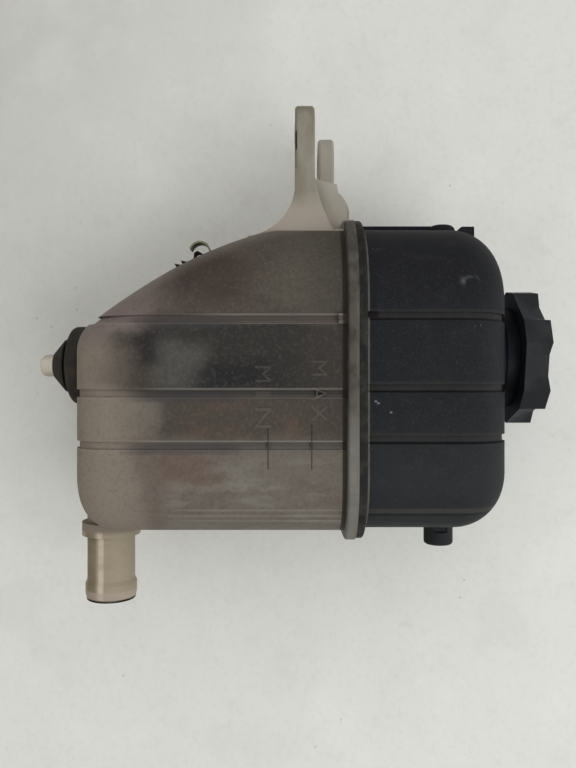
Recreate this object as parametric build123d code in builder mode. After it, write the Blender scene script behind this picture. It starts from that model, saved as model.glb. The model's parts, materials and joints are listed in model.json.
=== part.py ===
from build123d import *
from math import cos, radians
import os

# Coolant expansion tank, millimetres, +Z up towards the filler cap.
# The origin is on the axis of the bottom peg, half way up the groove of its rubber grommet.
# +X points to the hose side, -X to the two fixing ears, -Y to the face with the level marks.

# Tank body
wall = 3.0
floor_height = 14.4
lower_body_height = 123.6
upper_body_height = 68.3
weld_height = floor_height + lower_body_height
roof_height = weld_height + upper_body_height
lower_left = -63.8
lower_right = 76.5
lower_half_depth = 55.0
upper_left_step = 0.4
upper_right_step = 1.0
upper_depth_step = 1.5
left_corner_radius = 37.0
right_corner_radius = 27.0
right_wall_crown = 1.6
roof_edge_radius = 23.0
floor_edge_radius = 16.0
slope_start_x = -13.0
slope_middle_x = -45.8
slope_middle_share = 0.403
slope_end_share = 0.87
flange_width = 4.2
lower_flange_thickness = 4.6
upper_flange_thickness = 3.7
flange_edge_radius = 1.2
flange_step = 0.7
tab_width = 4.5
tab_height = 4.0
tab_proud = 1.6

# Grooves in the outer skin and the stiffening frames behind them
groove_width = 3.4
groove_depth = 1.2
lower_groove_places = (-18.5, 13.2, 35.5)
upper_groove_places = (-20.0, 11.0, 33.0)
frame_thickness = 2.0
frame_depth = 9.0

# Bottom peg, its seat and the grommet
peg_radius = 5.45
peg_tip = -15.0
peg_tip_radius = 3.5
seat_drop = 4.4
seat_radius = 16.5
grommet_clearance = 0.05
grommet_disc_radius = 19.3
grommet_disc_edge = 3.0
tray_groove_radius = 10.2
tray_groove_width = 2.5
grommet_flare_radius = 13.0
grommet_flare_lip = 0.9
grommet_nose_radius = 6.6
grommet_nose = -7.8

# Lower hose spigot
outlet_y = -20.0
outlet_rise = 10.2
outlet_radius = 11.0
outlet_bore_radius = 9.0
outlet_reach = 33.2
outlet_bead_radius = 11.9
outlet_bead_ramp = 2.0
outlet_bead_length = 4.4
outlet_tip_length = 3.1
outlet_tip_radius = 11.2
outlet_collar_radius = 13.4
outlet_collar_proud = 3.1

# Upper push-in port
port_drop = 23.3
port_radius = 7.15
port_bore_radius = 4.9
port_reach = 13.4
port_edge_radius = 1.6
port_window_width = 6.4
port_window_start = 1.6
port_window_length = 5.2
port_window_depth = 1.4

# Fixing ears
ear_reach = 45.0
ear_radius = 12.5
near_ear_y = -20.0
far_ear_y = 27.0
near_ear_drop = 17.7
near_ear_thickness = 9.0
far_ear_drop = 6.0
far_ear_thickness = 8.0
ear_root_reach = 10.2
ear_edge = 1.0
bush_outer_radius = 4.65
bush_inner_radius = 3.3
bush_clearance = 0.05
bush_proud = 0.2

# Saddle that carries the ears, each point measured outwards from the left wall and up from an ear
saddle_reach = 25.2
saddle_root = 8.8
saddle_toe = 7.0
saddle_near_inner_y = -16.0
saddle_far_inner_y = -6.0
near_flare_start = (-5.6, -21.8)
near_flare_middle = (3.0, -5.7)
near_shoulder = (22.2, 0.0)
near_shoulder_middle = (7.2, 3.7)
near_flange_point = (-6.3, 10.7)
far_flare_start = (-3.8, -24.0)
far_flare_middle = (7.7, -6.0)
far_shoulder = (21.0, 0.8)
far_shoulder_middle = (16.2, 4.6)
far_flange_point = (11.6, 6.0)

# Rail, pad and lug on the left wall of the upper shell
rail_y = 3.0
rail_thickness = 2.5
rail_reach = 6.6
rail_gap = 3.2
pad_drop = 21.1
pad_radius = 6.8
pad_reach = 7.0
pad_edge = 3.0
lug_drop = 5.3
lug_height = 7.5
lug_reach = 6.0
lug_width = 7.0
lug_edge = 1.8

# Filler neck
cap_x = -4.0
neck_radius = 24.0
neck_bore_radius = 20.5
neck_height = 16.7
neck_sleeve_length = 33.0
neck_collar_radius = 26.5
neck_collar_height = 4.2
neck_collar_edge = 1.5

# Cap grip, six lobes with a finger scoop after each
grip_skirt = 6.0
grip_cover = 6.2
grip_lobe_count = 6
grip_lobe_radius = 32.6
grip_lobe_spread = 20.0
grip_lobe_angle = 10.0
grip_ceiling = 3.6
grip_thread_clearance = 0.4
grip_scoop_width = 10.3
grip_scoop_depth = 4.2
grip_dish_radius = 19.0
grip_dish_depth = 1.2
grip_tube_wall = 2.2
grip_tube_play = 1.4
grip_tube_depth = 9.0
snap_groove_depth = 1.0
snap_groove_drop = 8.0

# Split ring that ties the cap cartridge to the grip
screw_lift = 5.0
snap_ring_play = 0.9
snap_ring_thickness = 1.8
snap_ring_clearance = 0.1
snap_ring_gap = 5.0

# Cap cartridge that seals in the neck
cartridge_radius = 20.3
cartridge_wall = 3.4
cartridge_depth = 31.0
cartridge_floor = 2.6
cartridge_chamfer = 1.0
cartridge_flange_radius = 23.6
cartridge_flange_thickness = 1.1
cartridge_lip_width = 2.3
cartridge_lip_height = 1.6
cartridge_ledge_width = 1.4
cartridge_ledge_height = 1.2
gasket_thickness = 1.1
gasket_inner_radius = 20.8
o_ring_wire_radius = 1.0
o_ring_gap = 0.05
o_ring_groove_width = 2.4
upper_o_ring_drop = 5.5
lower_o_ring_drop = 25.0
valve_bore_radius = 8.5
retainer_drop = 14.6
retainer_thickness = 1.8
retainer_clearance = 0.1
retainer_hole_radius = 5.0
retainer_vent_count = 6
retainer_vent_radius = 1.6
retainer_vent_circle = 13.3

# Pressure valve
valve_seat_gap = 0.05
seal_radius = 11.5
seal_thickness = 1.6
plate_radius = 12.6
plate_thickness = 1.6
plate_bore_radius = 4.0
plate_guide_radius = 9.0
plate_guide_height = 3.0
plate_spoke_count = 3
plate_spoke_width = 1.6
pressure_spring_wire_radius = 0.9
pressure_spring_radius = 11.0
pressure_spring_turns = 4.0

# Vacuum valve
vacuum_disc_radius = 6.0
vacuum_disc_thickness = 1.4
vacuum_stem_radius = 1.5
vacuum_stem_clearance = 0.05
vacuum_stem_drop = 16.4
hub_radius = 2.9
hub_thickness = 1.2
keeper_radius = 3.6
keeper_thickness = 1.2
vacuum_spring_wire_radius = 0.2
vacuum_spring_radius = 2.3
vacuum_spring_turns = 4.0

# Harness clip on the sloping side, measured along the slope and out from it
clip_station = 0.5
clip_y = -22.0
clip_width = 6.0
clip_pad_width = 9.0
clip_pad_height = 0.8
clip_pad_reach = 1.0
clip_length = 18.5
clip_tail = 8.7
clip_foot_thickness = 1.9
clip_tooth_count = 2
clip_tooth_pitch = 3.2
clip_tooth_rise = 2.4
clip_arch_width = 5.4
clip_arch_rise = 2.8
clip_arch_angle = 58.0
clip_arch_wall = 0.9
clip_band_width = 8.0
clip_band_thickness = 0.8
clip_band_inset = 1.0
clip_band_leg = 3.4
clip_band_reach = 7.8
clip_band_rise = 6.4
clip_band_tip = 5.0


def plan_face(height, left, right, half_depth, inset):
    # Closed plan of the body: flat faces, round corners and a slightly crowned right wall.
    low_y = inset - half_depth
    left_x = left + inset
    right_x = right - inset
    shoulder_x = right_x - right_wall_crown
    with BuildSketch(Plane.XY.offset(height)) as plan:
        with BuildLine():
            Line((left_x, low_y), (shoulder_x, low_y))
            ThreePointArc((shoulder_x, low_y), (right_x, 0), (shoulder_x, -low_y))
            Line((shoulder_x, -low_y), (left_x, -low_y))
            Line((left_x, -low_y), (left_x, low_y))
        make_face()
        fillet(plan.vertices().group_by(Axis.X)[0], left_corner_radius - inset)
        fillet(plan.vertices().group_by(Axis.X)[-1], right_corner_radius - inset)
    return plan.sketch


def lower_form(inset):
    # Solid form of the lower body with its sloping left side, moved inwards by the inset.
    low = floor_height + inset
    outside_x = lower_left - flange_width
    beyond_x = lower_right + flange_width
    with BuildPart() as form:
        plan = plan_face(low, lower_left, lower_right, lower_half_depth, inset)
        extrude(plan, amount=weld_height - low)
        with BuildSketch(Plane.XZ):
            with BuildLine():
                Polyline(
                    slope_start,
                    (beyond_x, floor_height),
                    (beyond_x, weld_height + inset),
                    (outside_x, weld_height + inset),
                    slope_end,
                )
                ThreePointArc(slope_end, slope_middle, slope_start)
            make_face()
            if inset > 0:
                offset(amount=-inset, kind=Kind.INTERSECTION)
        extrude(amount=lower_half_depth, both=True, mode=Mode.INTERSECT)
        sloping = form.edges().filter_by(Axis.Z, reverse=True)
        below = sloping.filter_by(lambda edge: edge.center().Z < flange_low)
        fillet(below, floor_edge_radius - inset)
    return form.part


def upper_form(inset):
    # Solid form of the upper body with its rounded roof, moved inwards by the inset.
    with BuildPart() as form:
        plan = plan_face(weld_height, upper_left, upper_right, upper_half_depth, inset)
        extrude(plan, amount=roof_height - inset - weld_height)
        fillet(form.faces().sort_by(Axis.Z)[-1].edges(), roof_edge_radius - inset)
    return form.part


def slabs(places, thickness, low, high):
    # Upright slabs across the whole depth of the body, one at each place along X.
    with BuildPart() as group:
        with BuildSketch(Plane.XY.offset(low)):
            with Locations([(place, 0) for place in places]):
                Rectangle(thickness, 2 * lower_half_depth + flange_width)
        extrude(amount=high - low)
    return group.part


def saddle_point(point, height):
    # Point outwards from the left wall and up from a height.
    return (lower_left - point[0], height + point[1])


def saddle_face(y, low, high, flare_start, flare_middle, shoulder, shoulder_middle, flange_point):
    # One cross-section of the saddle: a flare below, the ear's thickness and a flare above.
    start = saddle_point(flare_start, low)
    crest = saddle_point(shoulder, high)
    end = saddle_point(flange_point, high)
    tip_x = lower_left - saddle_reach
    toe_x = tip_x + saddle_toe
    root_x = lower_left + saddle_root
    with BuildSketch(Plane.XZ.offset(-y)) as section:
        with BuildLine():
            Line((root_x, start[1]), start)
            ThreePointArc(start, saddle_point(flare_middle, low), (toe_x, low))
            Line((toe_x, low), (tip_x, low))
            Line((tip_x, low), (tip_x, high))
            Line((tip_x, high), crest)
            ThreePointArc(crest, saddle_point(shoulder_middle, high), end)
            Line(end, (root_x, end[1]))
            Line((root_x, end[1]), (root_x, start[1]))
        make_face()
    return section.sketch


def ear(y, low, high):
    # One fixing ear: a plate with a round end, its edges broken.
    with BuildPart() as plate:
        with BuildSketch(Plane.XY.offset(low)):
            with Locations((ear_hole_x, y)):
                Circle(ear_radius)
            with Locations(((ear_hole_x + ear_root_x) / 2, y)):
                Rectangle(ear_root_x - ear_hole_x, 2 * ear_radius)
        extrude(amount=high - low)
        chamfer(plate.edges().group_by(Axis.Z)[0] + plate.edges().group_by(Axis.Z)[-1], ear_edge)
    return plate.part


def ring(inner_radius, outer_radius, low, high):
    # Plain ring on the cap's axis.
    with BuildPart() as band:
        with BuildSketch(Plane.XY.offset(low)):
            with Locations((cap_x, 0)):
                Circle(outer_radius)
                if inner_radius > 0:
                    Circle(inner_radius, mode=Mode.SUBTRACT)
        extrude(amount=high - low)
    return band.part


def grip_plan(height, scoop_distance):
    # Plan of the grip: two corners on each lobe, then two on the floor of the scoop that follows.
    pitch = 360 / grip_lobe_count
    corners = []
    for lobe in range(grip_lobe_count):
        middle = grip_lobe_angle + lobe * pitch
        for turn in (-grip_lobe_spread / 2, grip_lobe_spread / 2):
            corners.append(Vector(grip_lobe_radius, 0).rotate(Axis.Z, middle + turn))
        for side in (-grip_scoop_width / 2, grip_scoop_width / 2):
            corners.append(Vector(scoop_distance, side).rotate(Axis.Z, middle + pitch / 2))
    with BuildSketch(Plane.XY.offset(height)) as plan:
        with Locations((cap_x, 0)):
            Polygon(*[(corner.X, corner.Y) for corner in corners], align=None)
    return plan.sketch


def coil(low, high, radius, wire_radius, turns):
    # Open coil spring on the cap's axis, its wire inside the two heights.
    height = high - low - 2 * wire_radius
    with BuildPart() as spring:
        with BuildLine():
            path = Helix(height / turns, height, radius, center=(cap_x, 0, low + wire_radius))
        with BuildSketch(Plane(origin=path @ 0, z_dir=path % 0)):
            Circle(wire_radius)
        sweep(path=path, is_frenet=True)
    return spring.part


def o_ring(height):
    # Rubber ring that bears on the neck's bore.
    with BuildPart() as band:
        with BuildSketch(Plane.XZ):
            with Locations((cap_x + neck_bore_radius - o_ring_gap - o_ring_wire_radius, height)):
                Circle(o_ring_wire_radius)
        revolve(axis=cap_axis)
    return band.part


def ear_bush(y, low, high):
    # Steel sleeve that takes the bolt's clamping load in one ear.
    with BuildPart() as sleeve:
        with BuildSketch(Plane.XY.offset(low - bush_proud)):
            with Locations((ear_hole_x, y)):
                Circle(bush_outer_radius)
                Circle(bush_inner_radius, mode=Mode.SUBTRACT)
        extrude(amount=high - low + 2 * bush_proud)
    return sleeve.part


def flange_plate(low, high, outset, outer_height):
    # Weld flange before it is hollowed, with its outer edge at one height rounded.
    with BuildPart() as plate:
        plan = plan_face(low, lower_left, lower_right, lower_half_depth, -outset)
        extrude(plan, amount=high - low)
        edge_plane = plate.edges().filter_by_position(Axis.Z, outer_height, outer_height)
        fillet(edge_plane, flange_edge_radius)
    return plate.part


upper_left = lower_left + upper_left_step
upper_right = lower_right - upper_right_step
upper_half_depth = lower_half_depth - upper_depth_step
slope_middle_height = floor_height + slope_middle_share * lower_body_height
slope_end_height = floor_height + slope_end_share * lower_body_height
slope_start = (slope_start_x, floor_height)
slope_middle = (slope_middle_x, slope_middle_height)
slope_end = (lower_left - flange_width, slope_end_height)
flange_low = weld_height - lower_flange_thickness
flange_high = weld_height + upper_flange_thickness
seat_height = floor_height - seat_drop
outlet_z = floor_height + outlet_rise
outlet_end = lower_right + outlet_reach
port_z = roof_height - port_drop
port_end = upper_right + port_reach
ear_hole_x = lower_left - ear_reach
ear_root_x = lower_left - ear_root_reach
near_ear_high = weld_height - near_ear_drop
near_ear_low = near_ear_high - near_ear_thickness
far_ear_high = weld_height - far_ear_drop
far_ear_low = far_ear_high - far_ear_thickness
near_outer_y = near_ear_y - ear_radius
far_outer_y = far_ear_y + ear_radius
pad_z = roof_height - pad_drop
rail_high = pad_z - rail_gap
lug_high = roof_height - lug_drop
lug_low = lug_high - lug_height
neck_top = roof_height + neck_height
cap_rim = neck_top - grip_skirt
cap_top = neck_top + grip_cover
inside_x = lower_right - floor_edge_radius
cartridge_inner = cartridge_radius - cartridge_wall
lip_inner = cartridge_inner - cartridge_lip_width
grip_tube_outer = lip_inner - grip_tube_play
grip_tube_inner = grip_tube_outer - grip_tube_wall
snap_ring_outer = cartridge_inner - snap_ring_play
cap_axis = Axis((cap_x, 0, 0), (0, 0, 1))
slope = ThreePointArc(slope_start, slope_middle, slope_end)
clip_point = slope @ clip_station
clip_direction = slope % clip_station
clip_plane = Plane(
    origin=(clip_point.X, clip_y, clip_point.Y),
    x_dir=(clip_direction.X, 0, clip_direction.Y),
    z_dir=(0, -1, 0),
)
os.makedirs("parts", exist_ok=True)

# Grooves pressed into the outer skin: slabs less an inset copy of the body
with BuildPart() as lower_grooves:
    add(slabs(lower_groove_places, groove_width, 0, flange_low))
    add(lower_form(groove_depth), mode=Mode.SUBTRACT)

with BuildPart() as upper_grooves:
    add(slabs(upper_groove_places, groove_width, flange_high, roof_height))
    add(upper_form(groove_depth), mode=Mode.SUBTRACT)

# Stiffening frames behind the grooves, rooted half way into the wall
with BuildPart() as lower_frames:
    add(slabs(lower_groove_places, frame_thickness, 0, weld_height))
    add(lower_form(wall / 2), mode=Mode.INTERSECT)
    add(lower_form(wall + frame_depth), mode=Mode.SUBTRACT)

with BuildPart() as upper_frames:
    add(slabs(upper_groove_places, frame_thickness, weld_height, roof_height))
    add(upper_form(wall / 2), mode=Mode.INTERSECT)
    add(upper_form(wall + frame_depth), mode=Mode.SUBTRACT)

# Saddle that flares out of the sloping side and carries both ears
with BuildPart() as saddle:
    for y in (near_outer_y, saddle_near_inner_y):
        section = saddle_face(
            y,
            near_ear_low,
            near_ear_high,
            near_flare_start,
            near_flare_middle,
            near_shoulder,
            near_shoulder_middle,
            near_flange_point,
        )
        add(section)
    for y in (saddle_far_inner_y, far_outer_y):
        section = saddle_face(
            y,
            far_ear_low,
            far_ear_high,
            far_flare_start,
            far_flare_middle,
            far_shoulder,
            far_shoulder_middle,
            far_flange_point,
        )
        add(section)
    loft(ruled=True)

# Hose spigot with its stop collar and end bead, before it is bored
with BuildPart() as spigot:
    with BuildSketch(Plane.XZ.offset(-outlet_y)):
        with BuildLine():
            bead_end = outlet_end - outlet_tip_length
            bead_top = bead_end - outlet_bead_length
            collar_end = lower_right + outlet_collar_proud
            Polyline(
                (inside_x, outlet_z),
                (inside_x, outlet_z + outlet_radius),
                (lower_right - wall, outlet_z + outlet_radius),
                (lower_right - wall, outlet_z + outlet_collar_radius),
                (collar_end, outlet_z + outlet_collar_radius),
                (collar_end, outlet_z + outlet_radius),
                (bead_top - outlet_bead_ramp, outlet_z + outlet_radius),
                (bead_top, outlet_z + outlet_bead_radius),
                (bead_end, outlet_z + outlet_bead_radius),
                (outlet_end, outlet_z + outlet_tip_radius),
                (outlet_end, outlet_z),
                close=True,
            )
        make_face()
    revolve(axis=Axis((0, outlet_y, outlet_z), (1, 0, 0)))

# Lower shell: body, flange, peg with its seat, spigot, saddle and ears in one moulding
with BuildPart() as lower_shell:
    add(lower_form(0))
    add(lower_grooves.part, mode=Mode.SUBTRACT)
    add(flange_plate(flange_low, weld_height, flange_width, flange_low))
    add(saddle.part)
    add(ear(near_ear_y, near_ear_low, near_ear_high))
    add(ear(far_ear_y, far_ear_low, far_ear_high))
    add(spigot.part)
    with BuildSketch(Plane.XY.offset(flange_low - tab_height)):
        with Locations((lower_groove_places[0], -lower_half_depth)):
            Rectangle(tab_width, 2 * tab_proud)
    extrude(amount=tab_height)
    with BuildSketch(Plane.XY.offset(seat_height)):
        Circle(seat_radius)
    extrude(amount=floor_height - seat_height + floor_edge_radius / 2)
    with BuildSketch(clip_plane):
        with Locations((-clip_tail - clip_pad_reach, -wall)):
            pad_size = (clip_length + 2 * clip_pad_reach, wall + clip_pad_height)
            Rectangle(*pad_size, align=(Align.MIN, Align.MIN))
    extrude(amount=clip_pad_width / 2, both=True)
    add(lower_form(wall), mode=Mode.SUBTRACT)
    add(lower_frames.part)
    with BuildSketch(Plane.XY.offset(peg_tip)):
        Circle(peg_radius)
    extrude(amount=seat_height - peg_tip)
    fillet(lower_shell.edges().sort_by(Axis.Z)[0], peg_tip_radius)
    with BuildSketch(Plane.YZ.offset(inside_x)):
        with Locations((outlet_y, outlet_z)):
            Circle(outlet_bore_radius)
    extrude(amount=outlet_end - inside_x, mode=Mode.SUBTRACT)
    with BuildSketch(Plane.XY.offset(near_ear_low)):
        with Locations((ear_hole_x, near_ear_y), (ear_hole_x, far_ear_y)):
            Circle(bush_outer_radius + bush_clearance)
    extrude(amount=far_ear_high - near_ear_low, mode=Mode.SUBTRACT)
lower_shell.part.label = "lower_shell"
export_step(lower_shell.part, "parts/lower_shell.step")

# Upper shell: body, flange, filler neck, push-in port and the small mouldings on its left wall
with BuildPart() as upper_shell:
    add(upper_form(0))
    add(upper_grooves.part, mode=Mode.SUBTRACT)
    add(flange_plate(weld_height, flange_high, flange_width - flange_step, flange_high))
    with BuildSketch(Plane.XY.offset(roof_height - wall)):
        with Locations((cap_x, 0)):
            Circle(neck_collar_radius)
    extrude(amount=neck_collar_height + wall)
    fillet(upper_shell.edges().sort_by(Axis.Z)[-1], neck_collar_edge)
    with BuildSketch(Plane.YZ.offset(upper_right - wall)):
        with Locations((0, port_z)):
            Circle(port_radius)
    extrude(amount=port_end - upper_right + wall)
    fillet(upper_shell.edges().sort_by(Axis.X)[-1], port_edge_radius)
    window_x = upper_right + port_window_start
    with BuildSketch(Plane.XY.offset(port_z - port_window_width / 2)):
        with Locations((window_x + port_window_length / 2, -port_radius)):
            Rectangle(port_window_length, 2 * port_window_depth)
    extrude(amount=port_window_width, mode=Mode.SUBTRACT)
    with BuildSketch(Plane.YZ.offset(upper_left - pad_reach)):
        with Locations((rail_y, pad_z)):
            Circle(pad_radius)
    extrude(amount=pad_reach + wall)
    fillet(upper_shell.edges().sort_by(Axis.X)[0], pad_edge)
    with BuildSketch(Plane.YZ.offset(upper_left - rail_reach)):
        with Locations((rail_y, (weld_height + rail_high) / 2)):
            Rectangle(rail_thickness, rail_high - weld_height)
    extrude(amount=rail_reach + wall)
    with BuildSketch(Plane.XZ.offset(-rail_y)):
        with Locations((upper_left - lug_reach, lug_low)):
            Rectangle(roof_edge_radius, lug_high - lug_low, align=(Align.MIN, Align.MIN))
    extrude(amount=lug_width / 2, both=True)
    fillet(upper_shell.edges().filter_by(Axis.Y).sort_by(Axis.X)[:2], lug_edge)
    add(upper_form(wall), mode=Mode.SUBTRACT)
    add(upper_frames.part)
    with BuildSketch(Plane.XY.offset(neck_top - neck_sleeve_length)):
        with Locations((cap_x, 0)):
            Circle(neck_radius)
    extrude(amount=neck_sleeve_length)
    with BuildSketch(Plane.XY.offset(weld_height)):
        with Locations((cap_x, 0)):
            Circle(neck_bore_radius)
    extrude(amount=neck_top - weld_height, mode=Mode.SUBTRACT)
    with BuildSketch(Plane.YZ.offset(upper_right - 2 * wall)):
        with Locations((0, port_z)):
            Circle(port_bore_radius)
    extrude(amount=port_end - upper_right + 2 * wall, mode=Mode.SUBTRACT)
upper_shell.part.label = "upper_shell"
export_step(upper_shell.part, "parts/upper_shell.step")

# Rubber grommet: disc under the seat, groove for the tray's edge, flare and nose
with BuildPart() as peg_grommet:
    tray_half = tray_groove_width / 2
    inner = peg_radius + grommet_clearance
    with BuildSketch(Plane.XZ) as grommet_profile:
        with BuildLine():
            Polyline(
                (inner, grommet_nose),
                (grommet_nose_radius, grommet_nose),
                (grommet_flare_radius, -tray_half - grommet_flare_lip),
                (grommet_flare_radius, -tray_half),
                (tray_groove_radius, -tray_half),
                (tray_groove_radius, tray_half),
                (grommet_disc_radius, tray_half),
                (grommet_disc_radius, seat_height),
                (inner, seat_height),
                close=True,
            )
        make_face()
        outer_corners = grommet_profile.vertices().group_by(Axis.X)[-1]
        fillet(outer_corners.sort_by(Axis.Y)[0], grommet_disc_edge)
    revolve(axis=Axis.Z)
peg_grommet.part.label = "peg_grommet"
export_step(peg_grommet.part, "parts/peg_grommet.step")

# Steel sleeves in the ears
near_ear_bush = ear_bush(near_ear_y, near_ear_low, near_ear_high)
near_ear_bush.label = "near_ear_bush"
export_step(near_ear_bush, "parts/near_ear_bush.step")

far_ear_bush = ear_bush(far_ear_y, far_ear_low, far_ear_high)
far_ear_bush.label = "far_ear_bush"
export_step(far_ear_bush, "parts/far_ear_bush.step")

# Cap grip: lobes, scoops that deepen from the rim to the top, skirt and inner tube
ceiling = cap_top - grip_ceiling
flat_spread = 360 / grip_lobe_count - grip_lobe_spread
flat_distance = grip_lobe_radius * cos(radians(flat_spread / 2))
tube_end = neck_top - grip_tube_depth
snap_groove_low = neck_top - snap_groove_drop
with BuildPart() as cap_grip:
    add(grip_plan(cap_rim, flat_distance))
    add(grip_plan(cap_top, flat_distance - grip_scoop_depth))
    loft(ruled=True)
    with BuildSketch(Plane.XY.offset(cap_top - grip_dish_depth)):
        with Locations((cap_x, 0)):
            Circle(grip_dish_radius)
    extrude(amount=grip_dish_depth, mode=Mode.SUBTRACT)
    with BuildSketch(Plane.XY.offset(cap_rim)):
        with Locations((cap_x, 0)):
            Circle(neck_radius + grip_thread_clearance)
    extrude(amount=ceiling - cap_rim, mode=Mode.SUBTRACT)
    add(ring(grip_tube_inner, grip_tube_outer, tube_end, ceiling))
    ring_slot_height = snap_ring_thickness + 2 * snap_ring_clearance
    slot_floor = grip_tube_outer - snap_groove_depth
    slot_high = snap_groove_low + ring_slot_height
    slot = ring(slot_floor, snap_ring_outer, snap_groove_low, slot_high)
    add(slot, mode=Mode.SUBTRACT)
cap_grip.part.label = "cap_grip"
export_step(cap_grip.part, "parts/cap_grip.step")

# Split ring in the grip's groove, below the cartridge's lip
snap_ring_low = snap_groove_low + snap_ring_clearance
snap_ring_high = snap_ring_low + snap_ring_thickness
snap_ring_inner = slot_floor + snap_ring_clearance
with BuildPart() as cap_snap_ring:
    add(ring(snap_ring_inner, snap_ring_outer, snap_ring_low, snap_ring_high))
    with BuildSketch(Plane.XY.offset(snap_ring_low)):
        with Locations((cap_x + snap_ring_outer, 0)):
            Rectangle(snap_ring_outer, snap_ring_gap)
    extrude(amount=snap_ring_thickness, mode=Mode.SUBTRACT)
cap_snap_ring.part.label = "cap_snap_ring"
export_step(cap_snap_ring.part, "parts/cap_snap_ring.step")

# Cartridge: barrel with a valve seat, a ledge for the spring retainer, a lip and a top flange
cartridge_bottom = neck_top - cartridge_depth
retainer_low = neck_top - retainer_drop
upper_o_ring_height = neck_top - upper_o_ring_drop
lower_o_ring_height = neck_top - lower_o_ring_drop
flange_bottom = neck_top + gasket_thickness
cartridge_top = flange_bottom + cartridge_flange_thickness
floor_top = cartridge_bottom + cartridge_floor
retainer_high = retainer_low + retainer_thickness
ledge_low = retainer_high + retainer_clearance
ledge_high = ledge_low + cartridge_ledge_height
lip_low = snap_ring_high + screw_lift + 2 * snap_ring_clearance
lip_high = lip_low + cartridge_lip_height
with BuildPart() as cap_cartridge:
    with BuildSketch(Plane.XZ):
        with BuildLine():
            Polyline(
                (cap_x + valve_bore_radius, cartridge_bottom),
                (cap_x + cartridge_radius - cartridge_chamfer, cartridge_bottom),
                (cap_x + cartridge_radius, cartridge_bottom + cartridge_chamfer),
                (cap_x + cartridge_radius, flange_bottom),
                (cap_x + cartridge_flange_radius, flange_bottom),
                (cap_x + cartridge_flange_radius, cartridge_top),
                (cap_x + cartridge_inner, cartridge_top),
                (cap_x + cartridge_inner, lip_high),
                (cap_x + lip_inner, lip_high),
                (cap_x + lip_inner, lip_low),
                (cap_x + cartridge_inner, lip_low),
                (cap_x + cartridge_inner, ledge_high),
                (cap_x + cartridge_inner - cartridge_ledge_width, ledge_high),
                (cap_x + cartridge_inner - cartridge_ledge_width, ledge_low),
                (cap_x + cartridge_inner, ledge_low),
                (cap_x + cartridge_inner, floor_top),
                (cap_x + valve_bore_radius, floor_top),
                close=True,
            )
        make_face()
        groove_x = cap_x + neck_bore_radius - o_ring_gap - 2 * o_ring_wire_radius - o_ring_gap
        with Locations((groove_x, upper_o_ring_height), (groove_x, lower_o_ring_height)):
            Rectangle(
                cartridge_wall, o_ring_groove_width, align=(Align.MIN, Align.CENTER), mode=Mode.SUBTRACT
            )
    revolve(axis=cap_axis)
cap_cartridge.part.label = "cap_cartridge"
export_step(cap_cartridge.part, "parts/cap_cartridge.step")

# Seals of the cartridge: two O-rings on the barrel and a flat gasket on the neck's top
upper_o_ring = o_ring(upper_o_ring_height)
upper_o_ring.label = "upper_o_ring"
export_step(upper_o_ring, "parts/upper_o_ring.step")

lower_o_ring = o_ring(lower_o_ring_height)
lower_o_ring.label = "lower_o_ring"
export_step(lower_o_ring, "parts/lower_o_ring.step")

cap_gasket = ring(gasket_inner_radius, cartridge_flange_radius, neck_top, flange_bottom)
cap_gasket.label = "cap_gasket"
export_step(cap_gasket, "parts/cap_gasket.step")

# Spring retainer: a disc under the ledge with a middle hole and vents
with BuildPart() as spring_retainer:
    add(ring(retainer_hole_radius, cartridge_inner - retainer_clearance, retainer_low, retainer_high))
    with BuildSketch(Plane.XY.offset(retainer_low)):
        with Locations((cap_x, 0)):
            with PolarLocations(retainer_vent_circle, retainer_vent_count):
                Circle(retainer_vent_radius)
    extrude(amount=retainer_thickness, mode=Mode.SUBTRACT)
spring_retainer.part.label = "spring_retainer"
export_step(spring_retainer.part, "parts/spring_retainer.step")

# Pressure valve: rubber disc on the seat and a plate with a guide and a spoked hub
seal_low = floor_top + valve_seat_gap
plate_low = seal_low + seal_thickness
plate_high = plate_low + plate_thickness
guide_high = plate_high + plate_guide_height
hub_low = guide_high - hub_thickness
pressure_seal = ring(plate_bore_radius, seal_radius, seal_low, plate_low)
pressure_seal.label = "pressure_seal"
export_step(pressure_seal, "parts/pressure_seal.step")

with BuildPart() as pressure_plate:
    add(ring(plate_bore_radius, plate_radius, plate_low, plate_high))
    add(ring(plate_guide_radius - plate_spoke_width, plate_guide_radius, plate_low, guide_high))
    with BuildSketch(Plane.XY.offset(hub_low)):
        with Locations((cap_x, 0)):
            Circle(hub_radius)
            with PolarLocations(plate_guide_radius / 2, plate_spoke_count):
                Rectangle(plate_guide_radius - plate_spoke_width, plate_spoke_width)
            Circle(vacuum_stem_radius + vacuum_stem_clearance, mode=Mode.SUBTRACT)
    extrude(amount=hub_thickness)
pressure_plate.part.label = "pressure_plate"
export_step(pressure_plate.part, "parts/pressure_plate.step")

pressure_spring = coil(
    plate_high,
    retainer_low,
    pressure_spring_radius,
    pressure_spring_wire_radius,
    pressure_spring_turns,
)
pressure_spring.label = "pressure_spring"
export_step(pressure_spring, "parts/pressure_spring.step")

# Vacuum valve: disc under the seal, stem through the hub, keeper and light spring
disc_low = seal_low - valve_seat_gap - vacuum_disc_thickness
keeper_low = neck_top - vacuum_stem_drop - keeper_thickness
with BuildPart() as vacuum_valve:
    with BuildSketch(Plane.XY.offset(disc_low)):
        with Locations((cap_x, 0)):
            Circle(vacuum_disc_radius)
    extrude(amount=vacuum_disc_thickness)
    with BuildSketch(Plane.XY.offset(disc_low)):
        with Locations((cap_x, 0)):
            Circle(vacuum_stem_radius)
    extrude(amount=keeper_low - disc_low)
vacuum_valve.part.label = "vacuum_valve"
export_step(vacuum_valve.part, "parts/vacuum_valve.step")

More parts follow.
